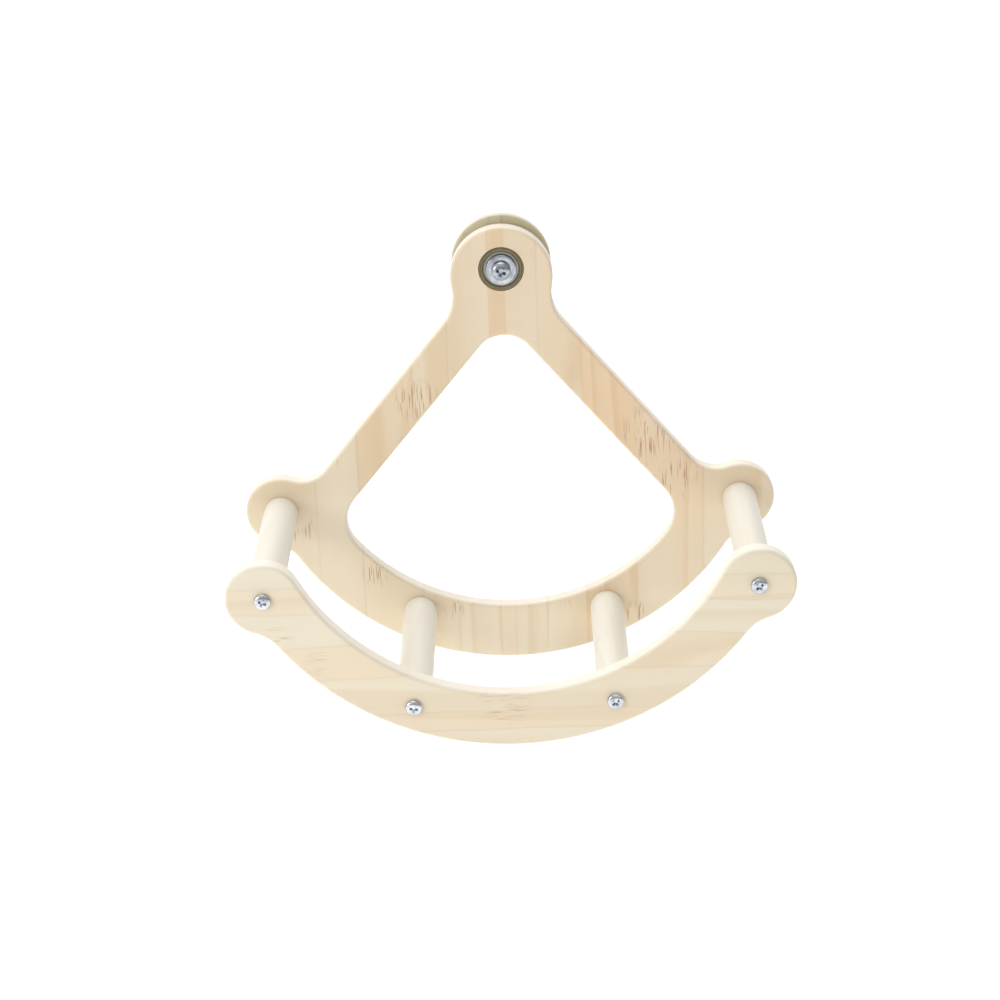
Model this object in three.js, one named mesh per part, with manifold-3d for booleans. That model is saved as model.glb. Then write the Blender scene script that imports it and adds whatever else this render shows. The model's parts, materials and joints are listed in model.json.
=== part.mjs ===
// Hanging seesaw for a small-pet cage: two pine plates joined by four rungs, swinging on a ball bearing
// that one screw clamps to the cage wall.
// Millimetres. The pivot axis lies along Y, +Y points out of the cage, +X is to the right and +Z is up.
// The origin is on the pivot axis, in the face of the wall disc that rests against the cage wall.

import * as THREE from 'three';
import { mergeVertices } from 'three/addons/utils/BufferGeometryUtils.js';
import Module from 'manifold-3d';

const wasm = await Module();
wasm.setup();

// ---- Driving dimensions ----

const PLATE_THICKNESS = 9;
const RUNG = { radius: 8.5, length: 99 };
const UPPER_RUNG = new THREE.Vector2(116, -124.5);
const LOWER_RUNG = new THREE.Vector2(48, -182.2);

// Outline of the plates: a hub centred a little below the pivot, two straight arms, a round boss at each
// upper rung and a curved bar along the bottom. Arm offsets are measured from the pivot, square to the arm.
const ARM = { angle: THREE.MathUtils.degToRad(40), outerOffset: 4.8, innerOffset: -16.4 };
const HUB = { radius: 25.2, drop: 4.3 };
const BOSS_RADIUS = 17.9;
const NECK_FILLET = 22.8;
const ARM_FILLET = 15.8;
const BAR_FILLET = 19.5;
const REAR_BAR = { bottom: -209.7, radius: 129.5 };
const FRONT_BAR = { bottom: -204.4, radius: 138 };
const REAR_WINDOW = { bottom: -180.5, radius: 102.5, topRound: 15.8, cornerRound: 19.2 };
const FRONT_EDGE_BOTTOM = -177;

// A 608 ball bearing: 22 mm across, 8 mm bore, 7 mm wide, seven 5/32 inch balls.
const BEARING = {
  width: 7, outer: 11, outerLand: 8.9, innerLand: 6.2, bore: 4, pitch: 7.5, ball: 1.984, balls: 7,
};
const RACE_PLAY = 0.08;
const SHIELD = { inner: 6.45, outer: 8.75, thickness: 0.25, recess: 0.35, slack: 0.1 };
const CAGE = { inner: 7, outer: 8, width: 5.2, pocket: 2.14 };
const BEARING_RECESS = 0.2;
const SEAT = { radius: 11.15, lipRadius: 8.6 };

const DISC = { radius: 24.5, thickness: 5, chamfer: 0.4 };
const RUNNING_GAP = 1;

// The M5 pivot screw and what is stacked on it.
const PIVOT_SCREW = {
  radius: 2.5, length: 30, headRadius: 4.75, headHeight: 3.7, crossWidth: 1.3, crossReach: 5.2,
  tipRadius: 1.9, tipLength: 0.8,
};
const CLEARANCE_BORE = 2.8;
const FRONT_WASHER = { radius: 7.5, thickness: 2, chamfer: 0.4 };
const SLEEVE_RADIUS = 3.85;
const SPACER_RADIUS = 5.5;
const CLAMP_WASHER = { radius: 12.5, thickness: 1.5 };
const CAGE_WALL_SLOT = 3.5;
const WING_NUT = {
  baseRadius: 5.5, topRadius: 4.5, hubHeight: 6.5, height: 13, span: 26, wingThickness: 2.4, wingRound: 4,
};

// 4 x 25 wood screws that hold the plates to the rungs.
const WOOD_SCREW = {
  radius: 1.95, length: 25, headRadius: 4, headHeight: 2.5, crossWidth: 1.1, crossReach: 4.2,
  tipRadius: 0.4, tipLength: 4,
};
// The domed pan head, as shares of its height and its radius.
const PAN_HEAD = { skirt: 0.35, shoulderHeight: 0.9, shoulderRadius: 0.72, recessDepth: 0.6 };
const SCREW_HOLE = 2.25;
const PILOT_DEPTH = 18;

// Planes along Y, from the cage wall to the front.
const DISC_FRONT = -DISC.thickness;
const REAR_BACK = DISC_FRONT - RUNNING_GAP;
const REAR_FRONT = REAR_BACK - PLATE_THICKNESS;
const FRONT_BACK = REAR_FRONT - RUNG.length;
const FRONT_FRONT = FRONT_BACK - PLATE_THICKNESS;
const BEARING_FRONT = REAR_FRONT + BEARING_RECESS;
const BEARING_BACK = BEARING_FRONT + BEARING.width;
const BEARING_MIDDLE = (BEARING_FRONT + BEARING_BACK) / 2;
const HEAD_SEAT = BEARING_FRONT - FRONT_WASHER.thickness;
const WASHER_FRONT = CAGE_WALL_SLOT;
const NUT_BASE = WASHER_FRONT + CLAMP_WASHER.thickness;

// ---- Materials ----

function finish(color, roughness, metalness) {
  return new THREE.MeshStandardMaterial({ color, roughness, metalness });
}

const pineRear = () => finish(0xe3cfb2, 0.6, 0);
const pineFront = () => finish(0xecdfc6, 0.6, 0);
const pineRung = () => finish(0xf1e8d6, 0.6, 0);
const discWood = () => finish(0xd5ceb0, 0.65, 0);
const zincSteel = () => finish(0xc9d0d8, 0.3, 1);
const ringSteel = () => finish(0x6f6656, 0.35, 1);
const ballSteel = () => finish(0xd8dadc, 0.12, 1);

// ---- Solids ----

const seesaw = new THREE.Group();

function place(name, geometry, material, parent = seesaw) {
  const mesh = new THREE.Mesh(geometry, material);
  mesh.name = name;
  parent.add(mesh);
  return mesh;
}

function toSolid(geometry) {
  const bare = geometry.clone();
  bare.deleteAttribute('normal');
  bare.deleteAttribute('uv');
  const merged = mergeVertices(bare, 1e-5);
  return new wasm.Manifold(new wasm.Mesh({
    numProp: 3,
    vertProperties: new Float32Array(merged.attributes.position.array),
    triVerts: new Uint32Array(merged.index.array),
  }));
}

function toGeometry(solid) {
  const mesh = solid.getMesh();
  const geometry = new THREE.BufferGeometry();
  geometry.setAttribute('position', new THREE.BufferAttribute(mesh.vertProperties, 3));
  geometry.setIndex(new THREE.BufferAttribute(mesh.triVerts, 1));
  geometry.computeVertexNormals();
  return geometry;
}

const box = (x, y, z) => new THREE.BoxGeometry(x, y, z);

/** A turned solid on the Y axis. Pairs are [radius, y], anticlockwise with the radius to the right. */
function turned(pairs, segments) {
  return new THREE.LatheGeometry(pairs.map(([r, y]) => new THREE.Vector2(r, y)), segments);
}

/** A washer, sleeve or disc: from y = 0 to y = thickness, its outer edges broken by the chamfer. */
function ring(bore, radius, thickness, segments, chamfer = 0) {
  const rim = chamfer > 0
    ? [[radius - chamfer, 0], [radius, chamfer], [radius, thickness - chamfer], [radius - chamfer, thickness]]
    : [[radius, 0], [radius, thickness]];
  return turned([[bore, 0], ...rim, [bore, thickness], [bore, 0]], segments);
}

/** Pairs along a round arc of a turned profile, ends included. */
function profileArc(centre, radius, fromDegrees, toDegrees, steps) {
  return Array.from({ length: steps + 1 }, (_, i) => {
    const angle = THREE.MathUtils.degToRad(fromDegrees + ((toDegrees - fromDegrees) * i) / steps);
    return [centre[0] + radius * Math.cos(angle), centre[1] + radius * Math.sin(angle)];
  });
}

// ---- Plate outlines, drawn in X and Z ----

const MAX_TURN = THREE.MathUtils.degToRad(8);
const MAX_CHORD = 4;

/** Points along an arc from one point towards another, without the last one. */
function arc(centre, from, to, clockwise) {
  const start = from.clone().sub(centre);
  const radius = start.length();
  const startAngle = start.angle();
  const endAngle = to.clone().sub(centre).angle();
  let sweep = endAngle - startAngle;
  if (clockwise && sweep > 0) {
    sweep -= 2 * Math.PI;
  }
  if (!clockwise && sweep < 0) {
    sweep += 2 * Math.PI;
  }
  const steps = Math.ceil(Math.max(Math.abs(sweep) / MAX_TURN, (Math.abs(sweep) * radius) / MAX_CHORD));
  return Array.from({ length: steps }, (_, i) => {
    const angle = startAngle + (sweep * i) / steps;
    return new THREE.Vector2(centre.x + radius * Math.cos(angle), centre.y + radius * Math.sin(angle));
  });
}

const point = (x, y) => new THREE.Vector2(x, y);
const alongArm = point(Math.sin(ARM.angle), -Math.cos(ARM.angle));
const acrossArm = point(Math.cos(ARM.angle), Math.sin(ARM.angle));

/** The point at an offset across the arm and a distance from a centre; way is 1 down the arm, -1 up it. */
function besideArm(offset, centre, distance, way) {
  const across = offset - centre.dot(acrossArm);
  const along = centre.dot(alongArm) + way * Math.sqrt(distance ** 2 - across ** 2);
  return acrossArm.clone().multiplyScalar(offset).addScaledVector(alongArm, along);
}

/** Where two circles cross; way is 1 for the point left of the line from first to second, else -1. */
function crossing(first, firstRadius, second, secondRadius, way) {
  const line = second.clone().sub(first);
  const distance = line.length();
  line.divideScalar(distance);
  const along = (firstRadius ** 2 - secondRadius ** 2 + distance ** 2) / (2 * distance);
  const aside = way * Math.sqrt(firstRadius ** 2 - along ** 2);
  return point(first.x + along * line.x - aside * line.y, first.y + along * line.y + aside * line.x);
}

/** The point at a distance from a centre in the direction of another point. */
function towards(centre, other, distance) {
  return other.clone().sub(centre).setLength(distance).add(centre);
}

/** A right half, clockwise from the top of the centre line to its bottom, closed by its mirror image. */
function closed(rightHalf) {
  const leftHalf = rightHalf.filter((p) => p.x > 1e-6).map((p) => point(-p.x, p.y)).reverse();
  return [...rightHalf, ...leftHalf];
}

/** The lower outer edge: round the boss from a start, through its fillet, along the bar to the middle. */
function bossAndBar(start, bar) {
  const barCentre = point(0, bar.bottom + bar.radius);
  const fillet = crossing(UPPER_RUNG, BOSS_RADIUS + BAR_FILLET, barCentre, bar.radius + BAR_FILLET, 1);
  const bossEnd = towards(UPPER_RUNG, fillet, BOSS_RADIUS);
  const barStart = towards(barCentre, fillet, bar.radius);
  const barEnd = point(0, bar.bottom);
  return [
    ...arc(UPPER_RUNG, start, bossEnd, true),
    ...arc(fillet, bossEnd, barStart, false),
    ...arc(barCentre, barStart, barEnd, true),
    barEnd,
  ];
}

function rearOutline() {
  const hub = point(0, -HUB.drop);
  const neck = besideArm(ARM.outerOffset + NECK_FILLET, hub, HUB.radius + NECK_FILLET, 1);
  const hubEnd = towards(hub, neck, HUB.radius);
  const armStart = neck.clone().addScaledVector(acrossArm, -NECK_FILLET);
  const elbow = besideArm(ARM.outerOffset + ARM_FILLET, UPPER_RUNG, BOSS_RADIUS + ARM_FILLET, -1);
  const armEnd = elbow.clone().addScaledVector(acrossArm, -ARM_FILLET);
  const bossStart = towards(UPPER_RUNG, elbow, BOSS_RADIUS);
  return closed([
    ...arc(hub, point(0, hub.y + HUB.radius), hubEnd, true),
    ...arc(neck, hubEnd, armStart, false),
    ...arc(elbow, armEnd, bossStart, false),
    ...bossAndBar(bossStart, REAR_BAR),
  ]);
}

function rearWindow() {
  const { bottom, radius, topRound, cornerRound } = REAR_WINDOW;
  const top = point(0, (ARM.innerOffset - topRound) / acrossArm.y);
  const armStart = top.clone().addScaledVector(acrossArm, topRound);
  const barCentre = point(0, bottom + radius);
  const corner = besideArm(ARM.innerOffset - cornerRound, barCentre, radius - cornerRound, 1);
  const armEnd = corner.clone().addScaledVector(acrossArm, cornerRound);
  const barStart = towards(barCentre, corner, radius);
  return closed([
    ...arc(top, point(0, top.y + topRound), armStart, true),
    ...arc(corner, armEnd, barStart, true),
    ...arc(barCentre, barStart, point(0, bottom), true),
    point(0, bottom),
  ]).reverse();
}

/** The front plate is a crescent: one arc along its upper edge runs straight into both bosses. */
function frontOutline() {
  const rise = UPPER_RUNG.y - FRONT_EDGE_BOTTOM;
  const radius = (UPPER_RUNG.x ** 2 + rise ** 2 - BOSS_RADIUS ** 2) / (2 * (rise + BOSS_RADIUS));
  const edgeCentre = point(0, FRONT_EDGE_BOTTOM + radius);
  const edgeEnd = towards(edgeCentre, UPPER_RUNG, radius);
  return closed([
    ...arc(edgeCentre, point(0, FRONT_EDGE_BOTTOM), edgeEnd, false),
    ...bossAndBar(edgeEnd, FRONT_BAR),
  ]);
}

function roundHole(centre, radius, segments) {
  return Array.from({ length: segments }, (_, i) => {
    const angle = (2 * Math.PI * i) / segments;
    return point(centre.x + radius * Math.cos(angle), centre.y + radius * Math.sin(angle));
  });
}

/** A plate from y = 0 towards -Y. Its outline runs clockwise and its openings anticlockwise. */
function plate(outline, openings) {
  const shape = new THREE.Shape(outline);
  shape.holes = openings.map((opening) => new THREE.Path(opening));
  const geometry = new THREE.ExtrudeGeometry(shape, { depth: PLATE_THICKNESS, bevelEnabled: false });
  return geometry.rotateX(Math.PI / 2);
}

const ROUND_STEPS = { bearing: 36, hardware: 28, rung: 32, disc: 60, screw: 12 };

const RUNGS = [
  { name: 'upper_left', centre: point(-UPPER_RUNG.x, UPPER_RUNG.y) },
  { name: 'upper_right', centre: UPPER_RUNG },
  { name: 'lower_left', centre: point(-LOWER_RUNG.x, LOWER_RUNG.y) },
  { name: 'lower_right', centre: LOWER_RUNG },
];

const screwHoles = RUNGS.map(({ centre }) => roundHole(centre, SCREW_HOLE, ROUND_STEPS.screw));

function makePlates() {
  const throughHole = roundHole(point(0, 0), SEAT.lipRadius, ROUND_STEPS.bearing);
  const blank = plate(rearOutline(), [rearWindow(), throughHole, ...screwHoles]);
  const seatDepth = BEARING_RECESS + BEARING.width;
  const seatEnd = -PLATE_THICKNESS - 1;
  const cutter = turned([[0, seatEnd], [SEAT.radius, seatEnd], [SEAT.radius, seatDepth - PLATE_THICKNESS],
    [0, seatDepth - PLATE_THICKNESS]], ROUND_STEPS.bearing);
  const seated = toSolid(blank).subtract(toSolid(cutter));
  place('rear_plate', toGeometry(seated), pineRear()).position.y = REAR_BACK;
  place('front_plate', plate(frontOutline(), screwHoles), pineFront()).position.y = FRONT_BACK;
}

/** A rung with a pilot hole up each end, from y = 0 to y = its length. */
function rung() {
  const { radius, length } = RUNG;
  return turned([
    [0, PILOT_DEPTH], [SCREW_HOLE, PILOT_DEPTH], [SCREW_HOLE, 0], [radius, 0],
    [radius, length], [SCREW_HOLE, length], [SCREW_HOLE, length - PILOT_DEPTH], [0, length - PILOT_DEPTH],
  ], ROUND_STEPS.rung);
}

/** A cross-recess screw, head towards -Y with its seat at y = 0, its shank reaching y = length. */
function crossScrew(size, segments) {
  const { radius, length, headRadius, headHeight, crossWidth, crossReach, tipRadius, tipLength } = size;
  const blank = turned([
    [0, -headHeight],
    [PAN_HEAD.shoulderRadius * headRadius, -PAN_HEAD.shoulderHeight * headHeight],
    [headRadius, -PAN_HEAD.skirt * headHeight], [headRadius, 0],
    [radius, 0], [radius, length - tipLength], [tipRadius, length], [0, length],
  ], segments);
  const depth = PAN_HEAD.recessDepth * headHeight;
  const slot = (x, z) => toSolid(box(x, 2 * depth, z).translate(0, -headHeight, 0));
  return toGeometry(toSolid(blank)
    .subtract(slot(crossReach, crossWidth))
    .subtract(slot(crossWidth, crossReach)));
}

function makeRungs() {
  for (const { name, centre } of RUNGS) {
    const axis = new THREE.Group();
    axis.position.set(centre.x, 0, centre.y);
    seesaw.add(axis);
    place(`rung_${name}`, rung(), pineRung(), axis).position.y = FRONT_BACK;
    const screw = () => crossScrew(WOOD_SCREW, ROUND_STEPS.screw);
    place(`front_screw_${name}`, screw(), zincSteel(), axis).position.y = FRONT_FRONT;
    const rear = place(`rear_screw_${name}`, screw(), zincSteel(), axis);
    rear.position.y = REAR_BACK;
    rear.rotation.x = Math.PI;
  }
}

/** The bearing's rings, shields, balls and ball cage, about the middle of its width. */
function makeBearing() {
  const bearing = new THREE.Group();
  bearing.position.y = BEARING_MIDDLE;
  seesaw.add(bearing);
  const half = BEARING.width / 2;
  const shieldSeat = half - SHIELD.recess - SHIELD.thickness - SHIELD.slack;
  const ballCentre = [BEARING.pitch, 0];
  const groove = BEARING.ball + RACE_PLAY;
  const lip = THREE.MathUtils.radToDeg(Math.acos((BEARING.pitch - BEARING.innerLand) / groove));
  const shoulder = 2 * BEARING.pitch - BEARING.innerLand;

  place('bearing_outer_ring', turned([
    [shoulder, -shieldSeat], [BEARING.outerLand, -shieldSeat],
    [BEARING.outerLand, -half], [BEARING.outer, -half],
    [BEARING.outer, half], [BEARING.outerLand, half],
    [BEARING.outerLand, shieldSeat], [shoulder, shieldSeat],
    ...profileArc(ballCentre, groove, lip, -lip, 4),
    [shoulder, -shieldSeat],
  ], ROUND_STEPS.bearing), ringSteel(), bearing);

  place('bearing_inner_ring', turned([
    [BEARING.bore, -half], [BEARING.innerLand, -half],
    ...profileArc(ballCentre, groove, 180 + lip, 180 - lip, 4),
    [BEARING.innerLand, half], [BEARING.bore, half], [BEARING.bore, -half],
  ], ROUND_STEPS.bearing), ringSteel(), bearing);

  const { inner, outer, thickness, recess } = SHIELD;
  const shield = () => ring(inner, outer, thickness, ROUND_STEPS.bearing);
  place('bearing_front_shield', shield(), ringSteel(), bearing).position.y = recess - half;
  place('bearing_rear_shield', shield(), ringSteel(), bearing).position.y = half - recess - thickness;

  const blank = ring(CAGE.inner, CAGE.outer, CAGE.width, 5 * BEARING.balls).translate(0, -CAGE.width / 2, 0);
  let cage = toSolid(blank);
  for (let i = 0; i < BEARING.balls; i += 1) {
    const angle = Math.PI / 2 + (2 * Math.PI * i) / BEARING.balls;
    const [x, z] = [BEARING.pitch * Math.cos(angle), BEARING.pitch * Math.sin(angle)];
    const pocket = new THREE.SphereGeometry(CAGE.pocket, 10, 6).translate(x, 0, z);
    cage = cage.subtract(toSolid(pocket));
    const ball = new THREE.SphereGeometry(BEARING.ball, 10, 6);
    place(`ball_${i + 1}`, ball, ballSteel(), bearing).position.set(x, 0, z);
  }
  place('ball_cage', toGeometry(cage), ringSteel(), bearing);
}

/** The wing nut, its base at y = 0 and its wings reaching y = height. */
function wingNut() {
  const { baseRadius, topRadius, hubHeight, height, span, wingThickness, wingRound } = WING_NUT;
  const hub = turned([
    [0, 0], [baseRadius, 0], [topRadius, hubHeight], [0, hubHeight],
  ], ROUND_STEPS.hardware);
  const ear = point(span / 2 - wingRound, height - wingRound);
  const outline = new THREE.Shape();
  outline.moveTo(0, 1);
  outline.lineTo(baseRadius - 0.5, 1);
  outline.lineTo(ear.x + wingRound, ear.y - 1);
  outline.absarc(ear.x, ear.y, wingRound, 0, 0.8 * Math.PI, false);
  outline.lineTo(topRadius - 1, hubHeight - 0.5);
  outline.lineTo(0, hubHeight - 0.5);
  const wing = { depth: wingThickness, bevelEnabled: false, curveSegments: 6 };
  const right = new THREE.ExtrudeGeometry(outline, wing).translate(0, 0, -wingThickness / 2);
  const left = right.clone().rotateY(Math.PI);
  const bore = turned([
    [0, -1], [CLEARANCE_BORE, -1], [CLEARANCE_BORE, height], [0, height],
  ], ROUND_STEPS.hardware);
  return toGeometry(toSolid(hub).add(toSolid(right)).add(toSolid(left)).subtract(toSolid(bore)));
}

function makePivot() {
  const bushing = (name, bore, radius, from, to) => {
    place(name, ring(bore, radius, to - from, ROUND_STEPS.hardware), zincSteel()).position.y = from;
  };
  const discBlank = ring(CLEARANCE_BORE, DISC.radius, DISC.thickness, ROUND_STEPS.disc, DISC.chamfer);
  place('wall_disc', discBlank, discWood()).position.y = DISC_FRONT;
  bushing('spacer_bush', CLEARANCE_BORE, SPACER_RADIUS, BEARING_BACK, DISC_FRONT);
  bushing('bearing_sleeve', CLEARANCE_BORE, SLEEVE_RADIUS, BEARING_FRONT, BEARING_BACK);
  const { radius, thickness, chamfer } = FRONT_WASHER;
  const washer = ring(CLEARANCE_BORE, radius, thickness, ROUND_STEPS.hardware, chamfer);
  place('front_washer', washer, zincSteel()).position.y = HEAD_SEAT;
  place('pivot_screw', crossScrew(PIVOT_SCREW, ROUND_STEPS.hardware), zincSteel()).position.y = HEAD_SEAT;
  bushing('clamp_washer', CLEARANCE_BORE, CLAMP_WASHER.radius, WASHER_FRONT, NUT_BASE);
  place('wing_nut', wingNut(), zincSteel()).position.y = NUT_BASE;
}

makePlates();
makeRungs();
makeBearing();
makePivot();

export default seesaw;
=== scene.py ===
# %% [markdown]
# # A hanging seesaw for a small-pet cage
# The real thing is two sanded pine plates joined by four round rungs. It swings on a ball bearing,
# and one screw through the bearing clamps a wooden disc and the whole toy to the cage wall.
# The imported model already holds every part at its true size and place, so this script loads it first
# and then makes each part again with the softness, the grain and the metal finish of the real one.

# %% Load the frame
import json
import math
from contextlib import contextmanager

import bmesh
import bpy
from mathutils import Matrix, Vector

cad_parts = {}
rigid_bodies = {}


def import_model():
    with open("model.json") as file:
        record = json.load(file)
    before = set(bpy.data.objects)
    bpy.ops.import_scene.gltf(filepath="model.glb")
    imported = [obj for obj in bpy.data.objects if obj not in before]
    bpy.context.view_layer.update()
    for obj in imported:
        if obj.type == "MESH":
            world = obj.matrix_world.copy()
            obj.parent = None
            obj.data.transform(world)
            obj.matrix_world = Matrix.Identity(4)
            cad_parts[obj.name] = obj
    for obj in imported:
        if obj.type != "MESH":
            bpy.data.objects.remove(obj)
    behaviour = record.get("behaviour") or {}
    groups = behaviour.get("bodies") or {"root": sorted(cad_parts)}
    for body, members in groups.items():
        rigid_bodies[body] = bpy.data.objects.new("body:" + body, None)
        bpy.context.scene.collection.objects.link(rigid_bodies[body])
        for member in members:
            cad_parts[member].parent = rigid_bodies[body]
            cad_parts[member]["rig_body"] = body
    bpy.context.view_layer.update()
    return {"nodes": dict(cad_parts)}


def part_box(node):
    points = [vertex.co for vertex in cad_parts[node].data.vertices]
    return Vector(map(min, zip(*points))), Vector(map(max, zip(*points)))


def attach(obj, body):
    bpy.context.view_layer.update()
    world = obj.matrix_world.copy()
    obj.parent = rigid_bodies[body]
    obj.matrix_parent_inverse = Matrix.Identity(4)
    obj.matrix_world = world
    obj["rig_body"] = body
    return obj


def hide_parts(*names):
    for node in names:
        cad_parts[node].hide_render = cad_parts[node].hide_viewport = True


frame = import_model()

MM = 0.001
print("frame nodes:", len(frame["nodes"]))

# %% [markdown]
# ## Helpers for working as by hand
# An operator works on whatever is selected, so each step starts from an empty selection. `editing`
# opens a piece in edit mode and closes it again, `choose` marks parts of the mesh by a test on their
# place, and `cut` runs a boolean modifier and throws the tool away.

# %% Selection, editing and modifiers
def activate(piece):
    bpy.ops.object.select_all(action="DESELECT")
    piece.select_set(True)
    bpy.context.view_layer.objects.active = piece


@contextmanager
def editing(piece, select="ALL", mode="VERT"):
    activate(piece)
    bpy.ops.object.mode_set(mode="EDIT")
    bpy.ops.mesh.select_mode(type=mode)
    bpy.ops.mesh.select_all(action="SELECT" if select == "ALL" else "DESELECT")
    yield bmesh.from_edit_mesh(piece.data)
    bpy.ops.object.mode_set(mode="OBJECT")


def choose(elements, test):
    """Selects the vertices, edges or faces that pass a test."""
    for element in elements:
        element.select_set(bool(test(element)))


def modify(piece, kind, **settings):
    """Adds a modifier, sets it and applies it."""
    activate(piece)
    modifier = piece.modifiers.new(kind.lower(), kind)
    for key, value in settings.items():
        setattr(modifier, key, value)
    bpy.ops.object.modifier_apply(modifier=modifier.name)
    return piece


def cut(piece, tool, operation="DIFFERENCE"):
    """Cuts a piece with a tool, or joins the two, and removes the tool."""
    modify(piece, "BOOLEAN", object=tool, operation=operation, solver="EXACT")
    bpy.data.objects.remove(tool)
    return piece


def settle(piece):
    """Puts a piece's place, turn and size into its mesh."""
    activate(piece)
    bpy.ops.object.transform_apply(location=True, rotation=True, scale=True)
    return piece


def smooth(piece, degrees=35):
    activate(piece)
    bpy.ops.object.shade_smooth_by_angle(angle=math.radians(degrees))
    return piece


# %% [markdown]
# ## The lathe
# Washers, rings, screws and the disc are all turned parts. Drawing half of the section and spinning
# it once round the pivot axis is what a lathe does, and it gives clean rings of faces. A primitive
# circle supplies the closed chain of edges, its vertices are moved onto the section, and Spin turns it.

# %% Turned parts and slabs
def turned(name, section, steps=96):
    """Spins a closed section of (radius, y) points, in metres, round the Y axis."""
    bpy.ops.object.select_all(action="DESELECT")
    bpy.ops.mesh.primitive_circle_add(vertices=len(section), radius=0.01, fill_type="NOTHING")
    piece = bpy.context.object
    piece.name = piece.data.name = name
    with editing(piece) as mesh:
        mesh.verts.ensure_lookup_table()
        for vertex, (radius, y) in zip(mesh.verts, section):
            vertex.co = (radius, y, 0)
        bmesh.update_edit_mesh(piece.data)
        bpy.ops.mesh.spin(steps=steps, angle=2 * math.pi, center=(0, 0, 0), axis=(0, 1, 0))
        bpy.ops.mesh.select_all(action="SELECT")
        bpy.ops.mesh.remove_doubles(threshold=1e-6)
        bpy.ops.mesh.dissolve_degenerate(threshold=1e-7)
        bpy.ops.mesh.delete_loose(use_verts=True, use_edges=True, use_faces=False)
        bpy.ops.mesh.select_all(action="SELECT")
        bpy.ops.mesh.normals_make_consistent(inside=False)
    return piece


def rounded(corners, edge, steps=3):
    """Softens the corners of a section or an outline. Corners on the axis stay as they are."""
    soft = []
    for index, corner in enumerate(corners):
        if corner[0] == 0:
            soft.append(corner)
            continue
        here = Vector(corner)
        before = Vector(corners[index - 1]) - here
        after = Vector(corners[(index + 1) % len(corners)]) - here
        reach = min(edge, 0.45 * before.length, 0.45 * after.length)
        start, end = here + reach * before.normalized(), here + reach * after.normalized()
        for step in range(steps + 1):
            share = step / steps
            soft.append(tuple((1 - share) ** 2 * start + 2 * share * (1 - share) * here + share ** 2 * end))
    return soft


def ring(name, bore, radius, low, high, edge, steps=96):
    """A washer, sleeve or disc with softened edges."""
    return turned(name, rounded([(bore, low), (radius, low), (radius, high), (bore, high)], edge), steps)


def slab(name, outline, thickness):
    """Extrudes a closed outline of (x, y) points along Z, half to each side."""
    bpy.ops.object.select_all(action="DESELECT")
    bpy.ops.mesh.primitive_circle_add(vertices=len(outline), radius=0.01, fill_type="NGON")
    piece = bpy.context.object
    piece.name = piece.data.name = name
    with editing(piece) as mesh:
        mesh.verts.ensure_lookup_table()
        for vertex, (x, y) in zip(mesh.verts, outline):
            vertex.co = (x, y, -thickness / 2)
        bmesh.update_edit_mesh(piece.data)
        bpy.ops.mesh.extrude_region_move(TRANSFORM_OT_translate={"value": (0, 0, thickness)})
        bpy.ops.mesh.select_all(action="SELECT")
        bpy.ops.mesh.normals_make_consistent(inside=False)
    return piece


# %% [markdown]
# ## Handing a piece over
# Every finished piece stands for one part of the imported model. It moves with the same body, takes
# its finish and hides the plain part.


def hand_over(piece, node, material):
    piece.data.materials.clear()
    piece.data.materials.append(material)
    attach(piece, frame["nodes"][node]["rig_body"])
    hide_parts(node)
    print(f"{piece.name}: {len(piece.data.polygons)} faces")


def middle(node):
    low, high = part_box(node)
    return (low + high) / 2


# %% [markdown]
# ## Node helpers for the finishes
# A finish is a small tree of nodes. These helpers add one node at a time, so that the finishes below
# read like a recipe: coordinates, stretch, pattern, colour, bump.

# %% Node helpers
def add(tree, kind, settings=None, **inputs):
    """Adds a node. An underscore in an input's name stands for a space."""
    made = tree.nodes.new(kind)
    for key, value in (settings or {}).items():
        setattr(made, key, value)
    for key, value in inputs.items():
        connect(tree, value, made.inputs[key.replace("_", " ")])
    return made


def connect(tree, value, socket):
    if isinstance(value, bpy.types.NodeSocket):
        tree.links.new(value, socket)
    else:
        socket.default_value = value


def maths(tree, operation, first, second=0.0):
    made = tree.nodes.new("ShaderNodeMath")
    made.operation = operation
    connect(tree, first, made.inputs[0])
    connect(tree, second, made.inputs[1])
    return made.outputs[0]


def ramp(tree, factor, stops, interpolation="LINEAR"):
    """A colour ramp of (position, colour) stops; a single number stands for a grey."""
    made = add(tree, "ShaderNodeValToRGB", Fac=factor)
    made.color_ramp.interpolation = interpolation
    elements = made.color_ramp.elements
    while len(elements) < len(stops):
        elements.new(1)
    for element, (position, colour) in zip(elements, stops):
        element.position = position
        element.color = (*colour, 1) if isinstance(colour, tuple) else (colour, colour, colour, 1)
    return made.outputs["Color"]


def mixed(tree, factor, first, second, blend="MIX"):
    made = tree.nodes.new("ShaderNodeMix")
    made.data_type = "RGBA"
    made.blend_type = blend
    connect(tree, factor, made.inputs[0])
    for value, index in ((first, 6), (second, 7)):
        connect(tree, (*value, 1) if isinstance(value, tuple) else value, made.inputs[index])
    return made.outputs[2]


def noise(tree, vector, scale, detail=2.0, roughness=0.5, distortion=0.0):
    return add(tree, "ShaderNodeTexNoise", Vector=vector, Scale=scale, Detail=detail,
               Roughness=roughness, Distortion=distortion).outputs["Fac"]


def stretched(tree, vector, scale):
    return add(tree, "ShaderNodeMapping", Vector=vector, Scale=scale).outputs["Vector"]


def new_finish(name, **values):
    """A material with its shader; the values are set on the shader's own sockets."""
    material = bpy.data.materials.new(name)
    material.use_nodes = True
    tree = material.node_tree
    shader = tree.nodes["Principled BSDF"]
    for key, value in values.items():
        shader.inputs[key.replace("_", " ")].default_value = value
    place = add(tree, "ShaderNodeTexCoord").outputs["Object"]
    return material, tree, shader, place


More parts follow.
